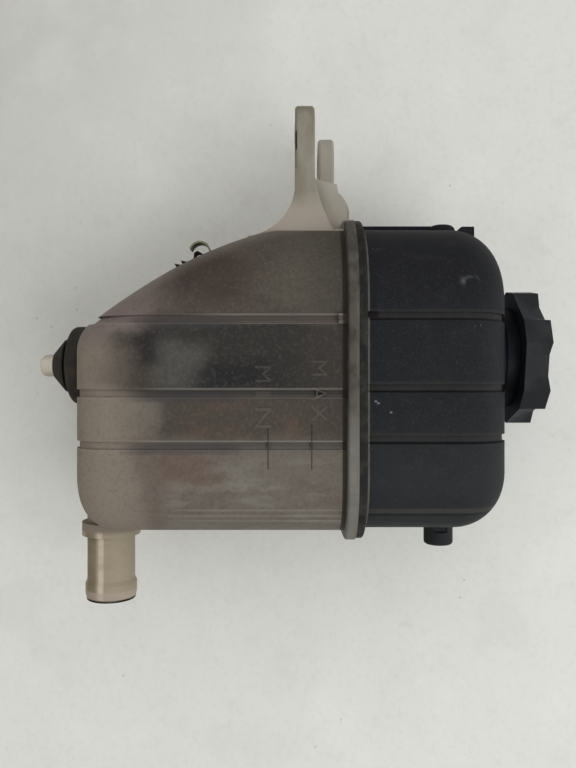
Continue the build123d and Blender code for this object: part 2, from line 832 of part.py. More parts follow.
with BuildPart() as vacuum_keeper:
    with BuildSketch(Plane.XY.offset(keeper_low)):
        with Locations((cap_x, 0)):
            Circle(keeper_radius)
    extrude(amount=keeper_thickness)
vacuum_keeper.part.label = "vacuum_keeper"
export_step(vacuum_keeper.part, "parts/vacuum_keeper.step")

vacuum_spring = coil(
    guide_high,
    keeper_low,
    vacuum_spring_radius,
    vacuum_spring_wire_radius,
    vacuum_spring_turns,
)
vacuum_spring.label = "vacuum_spring"
export_step(vacuum_spring, "parts/vacuum_spring.step")

# Harness clip: a toothed plastic base with an arch, and a spring-steel band beside it
foot_top = clip_pad_height + clip_foot_thickness
clip_end = clip_length - clip_tail
with BuildPart() as harness_clip_base:
    with BuildSketch(clip_plane):
        with Locations((-clip_tail, clip_pad_height)):
            Rectangle(clip_length, clip_foot_thickness, align=(Align.MIN, Align.MIN))
        for tooth in range(clip_tooth_count):
            tooth_x = tooth * clip_tooth_pitch - clip_tail
            with BuildLine():
                Polyline(
                    (tooth_x, foot_top),
                    (tooth_x, foot_top + clip_tooth_rise),
                    (tooth_x + clip_tooth_pitch, foot_top),
                    close=True,
                )
            make_face()
        with Locations((clip_arch_width / 2, foot_top)):
            Trapezoid(
                clip_arch_width, clip_arch_rise, clip_arch_angle, align=(Align.CENTER, Align.MIN)
            )
            Trapezoid(
                clip_arch_width - 2 * clip_arch_wall,
                clip_arch_rise - clip_arch_wall,
                clip_arch_angle,
                align=(Align.CENTER, Align.MIN),
                mode=Mode.SUBTRACT,
            )
    extrude(amount=clip_width / 2, both=True)
harness_clip_base.part.label = "harness_clip_base"
export_step(harness_clip_base.part, "parts/harness_clip_base.step")

with BuildPart() as harness_clip_band:
    with BuildSketch(clip_plane):
        with BuildLine():
            leg_x = clip_end - clip_band_inset
            Line((leg_x, foot_top), (leg_x, foot_top + clip_band_leg))
            ThreePointArc(
                (leg_x, foot_top + clip_band_leg),
                (leg_x - clip_band_reach / 2, foot_top + clip_band_rise),
                (leg_x - clip_band_reach, foot_top + clip_band_tip),
            )
        trace(line_width=clip_band_thickness)
    extrude(amount=clip_band_width / 2, both=True)
harness_clip_band.part.label = "harness_clip_band"
export_step(harness_clip_band.part, "parts/harness_clip_band.step")
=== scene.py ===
import json

import bpy
import numpy as np
from mathutils import Matrix


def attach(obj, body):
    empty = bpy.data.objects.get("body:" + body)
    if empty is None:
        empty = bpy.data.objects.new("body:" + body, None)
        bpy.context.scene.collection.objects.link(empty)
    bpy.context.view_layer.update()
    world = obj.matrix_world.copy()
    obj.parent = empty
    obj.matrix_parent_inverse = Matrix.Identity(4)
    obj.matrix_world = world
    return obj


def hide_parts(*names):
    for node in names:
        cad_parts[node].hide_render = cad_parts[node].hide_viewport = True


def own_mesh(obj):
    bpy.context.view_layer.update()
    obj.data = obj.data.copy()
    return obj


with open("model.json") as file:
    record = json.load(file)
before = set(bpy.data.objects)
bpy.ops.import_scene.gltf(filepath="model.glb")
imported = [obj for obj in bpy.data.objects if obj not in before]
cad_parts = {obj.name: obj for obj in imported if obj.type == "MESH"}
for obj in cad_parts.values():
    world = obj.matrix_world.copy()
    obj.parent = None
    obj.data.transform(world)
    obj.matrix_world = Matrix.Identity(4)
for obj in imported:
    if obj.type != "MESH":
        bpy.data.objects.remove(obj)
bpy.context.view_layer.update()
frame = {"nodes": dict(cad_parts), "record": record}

nodes = frame["nodes"]
print("frame loaded:", len(nodes), "nodes")

perMetre = 1000.0  # patterns and marks are written in millimetres
speckCore = 0.6  # share of a speck's radius that has its full tone
plasticGloss = 0.1  # specular level of every finish that names no other


class Wire:  # one output of a node, so that shader maths reads as plain sums
    def __init__(self, finish, socket):
        self.finish = finish
        self.socket = socket

    def maths(self, operation, *others):
        values = dict(enumerate((self,) + others))
        return self.finish.add("Math", {"operation": operation}, values)

    def __add__(self, other):
        return self.maths("ADD", other)

    def __sub__(self, other):
        return self.maths("SUBTRACT", other)

    def __mul__(self, other):
        return self.maths("MULTIPLY", other)

    def __rsub__(self, other):
        return self.finish.add("Math", {"operation": "SUBTRACT"}, {0: other, 1: self})

    __radd__ = __add__
    __rmul__ = __mul__

    def ramp(self, low, high):  # 0 below low, 1 above high, smooth between
        settings = {"interpolation_type": "SMOOTHSTEP"}
        return self.finish.add("MapRange", settings, {0: self, 1: low, 2: high})

    def fall(self, low, high):  # 1 below low, 0 above high
        return 1 - self.ramp(low, high)

    def band(self, middle, half, soft):  # 1 within half of the middle, fading over soft
        return (self - middle).maths("ABSOLUTE").fall(half, half + soft)


class Finish:  # one material and the nodes that make it
    def __init__(self, name):
        self.material = bpy.data.materials.new(name)
        self.material.use_nodes = True
        self.tree = self.material.node_tree
        self.tree.nodes.clear()
        self.place = self.add("TexCoord", output="Object")
        scaled = self.add("VectorMath", {"operation": "SCALE"}, {0: self.place, 3: perMetre})
        split = self.add("SeparateXYZ", inputs={0: scaled})
        self.x, self.y, self.z = [Wire(self, out) for out in split.socket.node.outputs]

    def add(self, kind, settings=None, inputs=None, output=0):
        node = self.tree.nodes.new("ShaderNode" + kind)
        for key, value in (settings or {}).items():
            setattr(node, key, value)
        for key, value in (inputs or {}).items():
            if isinstance(value, Wire):
                self.tree.links.new(value.socket, node.inputs[key])
            else:
                node.inputs[key].default_value = value
        return Wire(self, node.outputs[output])

    def moved(self, stretch, seed):  # the place times the stretch, plus the seed on each axis
        drawn = self.add("VectorMath", {"operation": "MULTIPLY"}, {0: self.place, 1: stretch})
        return self.add("VectorMath", {"operation": "ADD"}, {0: drawn, 1: (seed, seed, seed)})

    def noise(self, grain, detail, roughness=0.55, stretch=(1, 1, 1), seed=0.0):
        inputs = {"Vector": self.moved(stretch, seed), "Scale": perMetre / grain}
        inputs["Detail"] = detail
        inputs["Roughness"] = roughness
        return self.add("TexNoise", inputs=inputs)

    def noises(self, table):
        return {name: self.noise(**numbers) for name, numbers in table.items()}

    def specks(self, spacing, radius, seed=0.0):  # round spots, one in each cell of the spacing
        inputs = {"Vector": self.moved((1, 1, 1), seed), "Scale": perMetre / spacing}
        far = self.add("TexVoronoi", inputs=inputs, output="Distance")
        return far.fall(radius / spacing * speckCore, radius / spacing)

    def blend(self, share, first, second):  # sockets 6 and 7 are a Mix node's two colours
        settings = {"data_type": "RGBA", "clamp_factor": True}
        inputs = {0: share, 6: asColour(first), 7: asColour(second)}
        return self.add("Mix", settings, inputs, output=2)

    def paint(self, colour, stains, zones):
        # lays each stain's tone over the last, by its share of the zone of the same name
        for name, (tone, share) in stains.items():
            colour = self.blend(zones[name] * share, colour, tone)
        return colour

    def bump(self, height, depth, under=None):  # height 0..1 over a depth in millimetres
        inputs = {"Height": height, "Distance": depth / perMetre, "Strength": 1.0}
        if under:
            inputs["Normal"] = under
        return self.add("Bump", inputs=inputs, output="Normal")

    def close(self, colour, roughness, normal, fixed=None):
        inputs = {"Base Color": colour, "Roughness": roughness, "Normal": normal}
        inputs["Specular IOR Level"] = plasticGloss
        inputs.update(fixed or {})
        return self.finishWith(self.add("BsdfPrincipled", inputs=inputs))

    def finishWith(self, shader):
        out = self.tree.nodes.new("ShaderNodeOutputMaterial")
        self.tree.links.new(shader.socket, out.inputs["Surface"])
        return self.material


def asColour(value):  # "#rrggbb" as seen on screen, by the sRGB curve to a socket's numbers
    if not isinstance(value, str):
        return value
    parts = [int(value[at:at + 2], 16) / 255.0 for at in (1, 3, 5)]
    linear = [p / 12.92 if p <= 0.04045 else ((p + 0.055) / 1.055) ** 2.4 for p in parts]
    return (*linear, 1.0)


stainedShell = {
    "noises": {
        "cloud": {"grain": 34, "detail": 4, "seed": 2.0},
        "patch": {"grain": 13, "detail": 5, "seed": 5.0},
        "streak": {"grain": 7, "detail": 4, "roughness": 0.6, "stretch": (1, 1, 0.3), "seed": 9.0},
        "fleck": {"grain": 1.5, "detail": 3, "roughness": 0.7, "seed": 6.0},
        "grain": {"grain": 0.9, "detail": 2, "roughness": 0.7},
        "along": {"grain": 9, "detail": 3, "stretch": (0.3, 1, 1), "seed": 3.0},
        "mottle": {"grain": 6, "detail": 4, "roughness": 0.6, "seed": 7.0},
        "pits": {"grain": 2.2, "detail": 3, "roughness": 0.6, "seed": 1.0},
        "swell": {"grain": 14, "detail": 2, "roughness": 0.5, "seed": 4.0},
    },
    "wanderX": {"cloud": 16, "patch": 6},  # how far the noises move the zones' edges
    "wanderZ": {"cloud": 20, "patch": 8},
    "slopeCurve": (0.002547, 0.8588, 1.16),  # the sloping side's x from z: a z^2 - b z - c
    "base": "#453f39",
    "stains": {  # tone and share of each zone, in the order of painting
        "low": ("#625c55", 1.0),
        "slope": ("#48413b", 1.0),
        "slopeTop": ("#4e4b43", 0.8),
        "core": ("#2d2c2a", 1.0),
        "coreGrey": ("#545350", 0.6),
        "coreFoot": ("#1e1e21", 0.75),
        "coreHead": ("#1e1e21", 0.75),
        # flangeShade: painted shade on the shell next to the flange
        "flangeShade": ("#3d3834", 0.6),
        "russetPatches": ("#5a473f", 0.5),
        "footPatch": ("#67635d", 0.6),
        "lowGrey": ("#716d65", 0.8),
        "lowRusset": ("#5a473f", 0.6),
        "lowMottle": ("#574c44", 0.35),
        "lowStreaks": ("#716d65", 0.35),
        "slopeDark": ("#39302c", 0.75),
        "slopePatches": ("#3a332f", 0.3),
        # end: the pale left end, partly the plastic's own paler colour and partly painted light
        # shining through its thin walls
        "end": ("#786f65", 1.0),
        "endLine": ("#5d534c", 0.6),
        "endUpper": ("#6c6160", 0.9),
        "slopeFoot": ("#6c6160", 0.7),
        # slopeEdgeLight: painted light shining through the thin sloping side
        "slopeEdgeLight": ("#7f776f", 1.0),
        "paleFlecks": ("#7b756c", 0.12),
        "darkFlecks": ("#2a2725", 0.16),
    },
    "saddleStains": {"saddleFoot": ("#3b2c25", 0.7), "saddle": ("#948c82", 1.0)},
    "earTones": ("#757062", "#868177"),
    "earStains": {"farEar": ("#98948a", 0.8), "dash": ("#2a2622", 1.0)},
    "spoutBase": "#908573",
    "spoutStains": {
        "upper": ("#8d8472", 1.0),
        "darkRing": ("#6c6350", 0.85),
        "paleRing": ("#bbb1a1", 0.8),
        "bead": ("#9b9087", 0.6),
        "mouth": ("#14120f", 1.0),
        "streaks": ("#857b6a", 0.4),
    },
    "pegTones": ("#aaa297", "#c0b9ad"),
    "grooves": (  # middle, where the painted highlight on the low-x edge starts and is full, tone of the floor
        (-18.5, (56, 90), "#4f4743"),
        (13.2, (36, 60), "#383634"),
        (35.5, (32, 52), "#4b4846"),
    ),
    "floorShare": 0.7,
    "grooveStains": {
        # grooveWallShading: painted light that lifts the shade along each groove's high-x wall
        "grooveWallShading": ("#8a847c", 0.2),
        # shadeBelowGroove: painted shade in a band past each groove's high-x side
        "shadeBelowGroove": ("#35353a", 1.0),
        # grooveHighlight: a painted highlight where the groove's low-x wall catches the light
        "grooveHighlight": ("#89837c", 1.0),
    },
    # painted highlight lines along the rounded low corner
    "cornerHighlights": (63.6, 66.4, 69.0),
    "cornerHighlightTone": "#8d8981",
    "rimBase": "#3c3a36",
    "rimStains": {"mottle": ("#4d4a46", 1.0), "paleSide": ("#73716c", 1.0)},
    "flangeStains": {
        # rootShading: painted shadow in the undercut below the flange
        "rootShading": ("#211d1b", 0.85),
        "rimLine": ("#645e4a", 0.4),
        "darkGrain": ("#1f1d1b", 0.16),
    },
    "roughness": {"base": 0.44, "patch": 0.2, "grain": 0.1},
    "pitDepth": 0.03,
    "swellDepth": 0.25,
    "fixed": {"Subsurface Weight": 0.1, "Subsurface Radius": (0.004, 0.003, 0.002)},
}


def bodyZones(f, noise, x, z, sizes):
    # zones of the wandering x and z, apart from the painted light along the sloping side, which
    # follows that side
    slope = x.fall(-23, -13)
    core = x.band(-2, 11, 8) * z.ramp(30, 62)
    lowSide = x.ramp(36, 42)
    end = (z + x.band(0, 9, 9) * 12).fall(32, 58)
    square, gain, start = sizes["slopeCurve"]
    slopeLine = f.z * f.z * square - f.z * gain - start
    slopeEdgeLight = (f.x - slopeLine).fall(1.5, 9.0)
    return {
        "low": x.ramp(30, 40),
        "slope": slope,
        "slopeTop": slope * z.ramp(88, 112),
        "core": core,
        "coreGrey": core * x.band(1, 6, 9) * z.band(60, 6, 12),
        "coreFoot": x.band(-8, 4, 7) * z.band(45, 4, 9),
        "coreHead": core * x.band(6, 3, 7) * z.band(84, 11, 14),
        # painted shade next to the flange
        "flangeShade": x.fall(20, 34) * z.ramp(108, 130),
        "russetPatches": x.band(24, 5, 8) * noise["patch"].ramp(0.5, 0.7),
        "footPatch": x.band(25, 6, 5) * z.band(47, 4, 8),
        "lowGrey": x.band(53, 4, 8) * z.band(82, 14, 20) * noise["streak"].ramp(0.4, 0.66),
        "lowRusset": x.band(46, 3, 7) * z.band(64, 5, 10),
        "lowMottle": lowSide * noise["patch"].fall(0.4, 0.5),
        "lowStreaks": lowSide * noise["streak"].ramp(0.5, 0.64),
        "slopeDark": x.band(-36, 5, 9) * z.band(76, 9, 12),
        "slopePatches": slope * noise["patch"].ramp(0.5, 0.66),
        "end": end,
        "endLine": x.ramp(34, 42) * z.band(50, 1.5, 7),
        "endUpper": end * x.fall(-18, -2),
        "slopeFoot": x.fall(-24, -10) * z.fall(46, 70) * (0.2 + noise["patch"]),
        # painted light along the thin sloping side
        "slopeEdgeLight": slopeEdgeLight * (0.2 + 0.3 * noise["streak"]),
        "paleFlecks": noise["fleck"].ramp(0.5, 0.7),
        "darkFlecks": noise["fleck"].fall(0.34, 0.5),
    }


def fittingZones(f, noise):
    # the saddle with its ears at -X, and the spout at +X with stains along its pipe
    between = f.z.ramp(84, 90) * f.y.band(3.5, 36.6, 0.6)
    saddle = f.x.fall(-57, -56) * between
    return {
        "saddleFoot": f.x.band(-55.6, 0.3, 0.9) * between,
        "saddle": saddle,
        "ears": f.x.fall(-80, -68),
        "farEar": f.y.ramp(-16, -10) * saddle,
        "dash": f.x.band(-102.0, 3.5, 1.5) * f.z.fall(112.0, 112.3) * f.y.fall(-31.8, -31.3),
        "spout": f.x.ramp(76, 78.5) * f.z.fall(44, 46),
        "upper": f.z.ramp(24, 36),
        "darkRing": f.z.band(17.4, 1.6, 1.6),
        "paleRing": f.z.band(22.3, 0.7, 1.2),
        "bead": f.x.ramp(104.4, 105.4),
        "mouth": f.x.ramp(108.3, 108.9),
        "streaks": noise["streak"].ramp(0.5, 0.7),
    }


def paintFittings(f, colour, noise, zones, sizes):
    colour = f.paint(colour, sizes["saddleStains"], zones)
    earTone = f.blend(noise["along"].ramp(0.4, 0.65), *sizes["earTones"])
    colour = f.blend(zones["ears"], colour, earTone)
    colour = f.paint(colour, sizes["earStains"], zones)
    spoutTone = f.paint(sizes["spoutBase"], sizes["spoutStains"], zones)
    colour = f.blend(zones["spout"], colour, spoutTone)
    pegTone = f.blend(f.x.band(0, 2, 3), *sizes["pegTones"])
    return f.blend(f.z.fall(8, 11), colour, pegTone)


def paintGrooves(f, colour, noise, z, body, sizes):
    # floor and edges of each groove, with painted highlight on the low-x edge, painted light and
    # shade along the high-x wall and painted shade below, then painted highlight lines down the
    # low corner
    streak = noise["streak"]
    for middle, (start, full), floorTone in sizes["grooves"]:
        across = f.x - middle
        broken = body * (0.1 + 0.6 * streak)
        zones = {
            "floor": across.band(0, 1.9, 0.5) * body * z.ramp(40, 60),
            # painted light along the groove's high-x wall
            "grooveWallShading": across.band(1.5, 0.5, 0.4) * body,
            # painted shade past the groove's high-x side
            "shadeBelowGroove": across.band(1.6, 1.4, 1.6) * z.band(66, 14, 16) * broken,
            # painted highlight on the groove's low-x edge
            "grooveHighlight": across.band(-1.8, 0.2, 0.5) * f.z.ramp(start, full) * broken,
        }
        stains = {"floor": (floorTone, sizes["floorShare"]), **sizes["grooveStains"]}
        colour = f.paint(colour, stains, zones)
    # painted highlight lines down the low corner
    for middle in sizes["cornerHighlights"]:
        line = f.x.band(middle, 0.2, 0.5) * body * f.z.ramp(50, 70)
        colour = f.blend(line * (0.05 + 0.4 * streak), colour, sizes["cornerHighlightTone"])
    return colour


def paintFlange(f, colour, noise, offSaddle, sizes):
    # mottled grey, with painted shadow below the flange's root and a yellowish line on the rim
    streak = noise["streak"]
    zones = {
        "mottle": noise["mottle"].ramp(0.38, 0.62),
        "paleSide": f.x.ramp(8, 40) * (0.5 + 0.5 * streak),
        "rootShading": f.z.band(132.2, 0.7, 0.6) * offSaddle,
        "rimLine": f.z.band(137.4, 0.4, 0.4) * streak.ramp(0.4, 0.6),
        "darkGrain": noise["grain"].ramp(0.52, 0.8),
    }
    rimTone = f.paint(sizes["rimBase"], sizes["rimStains"], zones)
    colour = f.blend(f.z.ramp(132.6, 133.2) * offSaddle, colour, rimTone)
    return f.paint(colour, sizes["flangeStains"], zones)


def stainedPlastic(name, sizes, markStains=None):
    # markStains go on last: over everything, or as painted shade where a mark crosses the middle
    # groove
    f = Finish(name)
    noise = f.noises(sizes["noises"])
    x, z = f.x, f.z
    for grain, reach in sizes["wanderX"].items():
        x = x + (noise[grain] - 0.5) * reach
    for grain, reach in sizes["wanderZ"].items():
        z = z + (noise[grain] - 0.5) * reach
    colour = f.paint(sizes["base"], sizes["stains"], bodyZones(f, noise, x, z, sizes))
    zones = fittingZones(f, noise)
    colour = paintFittings(f, colour, noise, zones, sizes)
    offSaddle = 1 - zones["saddle"]
    body = f.z.fall(131, 133) * (1 - zones["spout"]) * offSaddle * f.y.fall(-30, -20)
    colour = paintGrooves(f, colour, noise, z, body, sizes)
    colour = paintFlange(f, colour, noise, offSaddle, sizes)
    if markStains:
        colour = f.paint(colour, markStains, {"all": 1.0, "letterGrooveShade": f.x.band(13.2, 1.7, 0.3)})
    parts = sizes["roughness"]
    roughness = parts["base"] + parts["patch"] * noise["patch"] + parts["grain"] * noise["grain"]
    normal = f.bump(noise["pits"], sizes["pitDepth"])
    normal = f.bump(noise["swell"], sizes["swellDepth"], normal)
    return f.close(colour, roughness, normal, sizes["fixed"])


blackShell = {
    "noises": {
        "cloud": {"grain": 30, "detail": 4, "roughness": 0.6, "seed": 1.0},
        "patch": {"grain": 7, "detail": 4, "roughness": 0.65, "seed": 5.0},
        "fine": {"grain": 0.9, "detail": 2, "roughness": 0.6, "seed": 2.0},
        "streak": {
            "grain": 6, "detail": 4, "roughness": 0.6, "stretch": (1, 1, 0.25), "seed": 9.0,
        },
        "sparse": {"grain": 20, "detail": 2, "seed": 8.0},
        "swell": {"grain": 9, "detail": 2, "roughness": 0.5, "seed": 4.0},
    },
    "wander": 30,
    "base": "#191b1e",
    "stains": {  # tone and share of each zone, in the order of painting
        "lowSide": ("#222426", 1.0),
        "highSide": ("#17181c", 1.0),
        "patches": ("#333330", 0.2),
        "speckle": ("#3f3f3a", 0.3),
    },
    "grooves": (-20.0, 11.0, 33.0),
    # dustAndHighlight: real dust and a painted highlight in each groove's low-x half;
    # grooveWallShading: painted shade along its high-x wall
    "grooveStains": {"dustAndHighlight": ("#33332f", 1.0), "grooveWallShading": ("#0d0e0f", 0.85)},
    "edgeStains": {
        "cornerDust": ("#4f4c46", 1.0),
        "cornerLine": ("#151616", 0.8),
        # rootShading: a painted highlight along the fillet above the flange
        "rootShading": ("#716f68", 1.0),
    },
    "flangeTones": ("#1b1b1a", "#2f2f2c"),
    "flangeShare": 0.7,
    "looseSpecks": {"spacing": 3.4, "radius": 0.3},
    "flangeSpecks": {"spacing": 2.2, "radius": 0.28, "seed": 7.0},
    "whiteSpecks": ((16.6, 145.5), (21.3, 152.0), (17.4, 146.6)),  # x and z
    "markStains": {
        # slotShade: painted shade of a small slot beside the flange
        "slotShade": ("#141110", 1.0),
        "smudge": ("#6a6b6c", 0.7),
        "specks": ("#7d7a72", 0.5),
        "whiteSpecks": ("#747370", 0.8),
        # neck: the neck's own black, deepened to near black as painted shade under the cap's skirt
        "neck": ("#040507", 1.0),
        # glint: a painted bluish highlight on the neck's collar
        "glint": ("#1c2940", 0.45),
    },
    "roughness": {"base": 0.5, "cloud": 0.16, "fine": 0.1, "neck": 0.5},
    "pitDepth": 0.035,
    "swellDepth": 0.16,
}


def blackZones(f, noise, near, sizes):
    x = f.x + (noise["cloud"] - 0.5) * sizes["wander"]
    loose = f.specks(**sizes["looseSpecks"]) * noise["sparse"].ramp(0.56, 0.68)
    flange = f.specks(**sizes["flangeSpecks"]) * f.z.fall(148, 156)
    flange = flange * noise["patch"].ramp(0.5, 0.62)
    white = []
    for speckX, speckZ in sizes["whiteSpecks"]:
        across = f.x - speckX
        up = f.z - speckZ
        white.append((across * across + up * up * 0.5).fall(0.05, 0.3))
    smudge = f.x.band(-35.0, 0.4, 2.6) * f.z.band(186.0, 1.5, 4.0)
    return {
        "lowSide": x.ramp(16, 50),
        "highSide": x.fall(-30, -8),
        "patches": noise["patch"].ramp(0.5, 0.75),
        "speckle": noise["fine"].ramp(0.5, 0.78),
        "cornerDust": f.x.band(64.4, 0.6, 1.1) * near * (0.05 + 0.5 * noise["streak"]),
        "cornerLine": f.x.band(66.2, 0.3, 0.4) * near,
        # painted highlight along the fillet above the flange
        "rootShading": f.z.band(142.4, 0.3, 0.5) * near * (0.2 + 0.7 * noise["streak"]),
        "flange": f.z.band(139.8, 1.6, 0.6),
        # painted shade of a small slot beside the flange
        "slotShade": f.x.band(-20.6, 1.2, 0.3) * f.z.band(144.2, 2.4, 0.4) * near,
        "smudge": smudge * near * noise["patch"].ramp(0.42, 0.6),
        "specks": loose + flange,
        "whiteSpecks": sum(white) * near,
        # painted shade on the neck under the cap, and a painted highlight on its collar
        "neck": f.z.ramp(206.6, 207.4),
        "glint": f.z.band(212.5, 0.8, 1.2) * f.x.band(-2, 12, 12) * near,
    }


def blackPlastic(name, sizes):
    f = Finish(name)
    noise = f.noises(sizes["noises"])
    near = f.y.fall(-30, -20)
    zones = blackZones(f, noise, near, sizes)
    colour = f.paint(sizes["base"], sizes["stains"], zones)
    for middle in sizes["grooves"]:
        across = f.x - middle
        grooveZones = {
            # dust, and a painted highlight where the groove's wall catches the light
            "dustAndHighlight": across.band(-0.9, 1.4, 1.0) * near * (0.1 + 0.5 * noise["streak"]),
            # painted shade line along the groove's high-x wall
            "grooveWallShading": across.band(1.5, 0.35, 0.35) * near,
        }
        colour = f.paint(colour, sizes["grooveStains"], grooveZones)
    colour = f.paint(colour, sizes["edgeStains"], zones)
    flangeTone = f.blend(noise["patch"].ramp(0.4, 0.6), *sizes["flangeTones"])
    colour = f.blend(zones["flange"] * sizes["flangeShare"], colour, flangeTone)
    colour = f.paint(colour, sizes["markStains"], zones)
    parts = sizes["roughness"]
    shell = parts["base"] + parts["cloud"] * noise["cloud"] + parts["fine"] * noise["fine"]
    roughness = (1 - zones["neck"]) * shell + parts["neck"] * zones["neck"]
    normal = f.bump(noise["fine"], sizes["pitDepth"])
    normal = f.bump(noise["swell"], sizes["swellDepth"], normal)
    return f.close(colour, roughness, normal)


moulded = {
    "noises": {
        "cloud": {"grain": 12, "detail": 4, "roughness": 0.6},
        "fine": {"grain": 0.8, "detail": 2, "roughness": 0.6},
        "sparse": {"grain": 12, "detail": 2, "seed": 5.0},
    },
    "specks": {"spacing": 2.6, "radius": 0.3},
    "stains": {"specks": ("#8a8880", 0.5)},
    "cloudRoughness": 0.2,
    "pitDepth": 0.03,
}


def mouldedPlastic(name, base, worn, roughness, sizes=moulded):
    f = Finish(name)
    noise = f.noises(sizes["noises"])
    colour = f.blend(noise["cloud"].ramp(0.4, 0.8), base, worn)
    specks = f.specks(**sizes["specks"]) * noise["sparse"].ramp(0.55, 0.7)
    colour = f.paint(colour, sizes["stains"], {"specks": specks})
    normal = f.bump(noise["fine"], sizes["pitDepth"])
    return f.close(colour, roughness + sizes["cloudRoughness"] * noise["cloud"], normal)


softRubber = {
    "noises": {
        "cloud": {"grain": 7, "detail": 4, "roughness": 0.65},
        "fine": {"grain": 0.7, "detail": 2, "roughness": 0.6},
    },
    "roughness": 0.72,
    "fineRoughness": 0.2,
    "pitDepth": 0.06,
    "fixed": {"Specular IOR Level": 0.35},
}


def rubber(name, base, worn, sizes=softRubber):
    f = Finish(name)
    noise = f.noises(sizes["noises"])
    colour = f.blend(noise["cloud"].ramp(0.42, 0.78), base, worn)
    roughness = sizes["roughness"] + sizes["fineRoughness"] * noise["fine"]
    normal = f.bump(noise["fine"], sizes["pitDepth"])
    return f.close(colour, roughness, normal, sizes["fixed"])


drawnMetal = {
    "cloud": {"grain": 5, "detail": 4, "roughness": 0.6},
    "lines": {"grain": 0.5, "detail": 2, "roughness": 0.5},
    "cloudRoughness": 0.25,
    "lineDepth": 0.02,
}


def metal(name, base, dull, roughness, streaks, sizes=drawnMetal):
    f = Finish(name)
    cloud = f.noise(**sizes["cloud"])
    lines = f.noise(stretch=streaks, **sizes["lines"])
    colour = f.blend(cloud.ramp(0.4, 0.75), base, dull)
    normal = f.bump(lines, sizes["lineDepth"])
    return f.close(colour, roughness + sizes["cloudRoughness"] * cloud, normal, {"Metallic": 1.0})


alongY = (1, 0.1, 1)  # a noise is drawn out where its stretch is small
alongZ = (1, 1, 0.1)
allWays = (1, 1, 1)
finishes = {
    "translucent_plastic": stainedPlastic("stainedPlastic", stainedShell),
    "black_plastic": blackPlastic("blackPlastic", blackShell),
    "grommet_rubber": rubber("grommetRubber", "#201e1a", "#35302a"),
    "plated_steel": metal("platedSteel", "#a09c90", "#6d6a60", 0.3, alongZ),
    "clip_plastic": mouldedPlastic("clipPlastic", "#141414", "#222120", 0.4),
    "clip_steel": metal("clipSteel", "#7c7a66", "#4c4a3c", 0.38, alongY),
    "cap_plastic": mouldedPlastic("capPlastic", "#212326", "#2e3033", 0.45),
    "cartridge_plastic": mouldedPlastic("cartridgePlastic", "#17191d", "#1f2227", 0.22),
    "seal_rubber": rubber("sealRubber", "#161616", "#232221"),
    "retainer_plastic": mouldedPlastic("retainerPlastic", "#242427", "#2e2e30", 0.4),
    "valve_brass": metal("valveBrass", "#c39d52", "#8a6b34", 0.25, alongZ),
    "spring_steel": metal("springSteel", "#b5b4b0", "#83827d", 0.22, allWays),
}
slotOf = {entry["node"]: entry["material_slot"] for entry in frame["record"]["subparts"]}
for nodeName, node in nodes.items():
    node.data.materials.clear()
    node.data.materials.append(finishes[slotOf[nodeName]])
print("finishes set on", len(nodes), "nodes")


springs = {  # travel in metres
    "pressure_spring": {
        "name": "pressureCoil",
        "body": "cartridge",
        "joint": "pressure_valve_lift",
        "travel": 0.0025,
        "fixedEnd": "high",
    },
    "vacuum_spring": {
        "name": "vacuumCoil",
        "body": "pressure_valve",
        "joint": "vacuum_valve_drop",
        "travel": 0.002,
        "fixedEnd": "low",
    },
}


def pointsOf(mesh):
    points = np.empty(len(mesh.vertices) * 3)
    mesh.vertices.foreach_get("co", points)
    return points.reshape(-1, 3)


def addCoil(nodeName, sizes):
    # the same coil as a piece attached to its body, in place of the hidden node
    node = nodes[nodeName]
    piece = bpy.data.objects.new(sizes["name"], node.data.copy())
    piece.matrix_world = node.matrix_world
    bpy.context.scene.collection.objects.link(piece)
    points = pointsOf(piece.data)
    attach(piece, sizes["body"])
    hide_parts(nodeName)
    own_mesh(piece)


for nodeName, sizes in springs.items():
    addCoil(nodeName, sizes)


levelMarks = {  # in millimetres
    "face": -55.0,  # y of the near face
    "proud": 0.3,
    "depth": 1.3,
    "letterFoot": {"MIN": 94.1, "MAX": 117.9},  # z
    "letterHeight": 6.7,
    "letterSunk": {"MIN": (0.0, 1.2, 0.0), "MAX": (0.0, 0.0, 0.0)},  # lower in the groove
    "letterSpans": {  # start and end in x
        "MIN": ((1.5, 8.4), (12.3, 14.9), (19.4, 27.9)),
        "MAX": ((-0.7, 5.7), (10.2, 16.4), (18.0, 25.4)),
    },
    # the letter that crosses the middle groove takes painted shade there
    "letterStains": {"all": ("#8b867e", 0.1), "letterGrooveShade": ("#2b2927", 0.25)},
    "rules": ((99.5, 27.0), (118.1, 26.2)),  # middle in z, start in x
    "ruleEnd": 45.6,
    "ruleWidth": 0.6,
    "ruleProud": 0.12,
    "ruleStains": {"all": ("#1d1a18", 0.6)},
}


def letterMesh(letter):
    # one letter as a thin solid, scaled to 0 to 1 along each axis
    curve = bpy.data.curves.new("letterCurve", "FONT")
    curve.body = letter
    curve.extrude = 0.5
    lettering = bpy.data.objects.new("letterCurve", curve)
    bpy.context.scene.collection.objects.link(lettering)
    bpy.context.view_layer.update()
    seen = lettering.evaluated_get(bpy.context.evaluated_depsgraph_get())
    mesh = bpy.data.meshes.new_from_object(seen)
    points = pointsOf(mesh)
    low, high = points.min(0), points.max(0)
    polygons = [list(polygon.vertices) for polygon in mesh.polygons]
    bpy.data.objects.remove(lettering)
    return (points - low) / (high - low), polygons


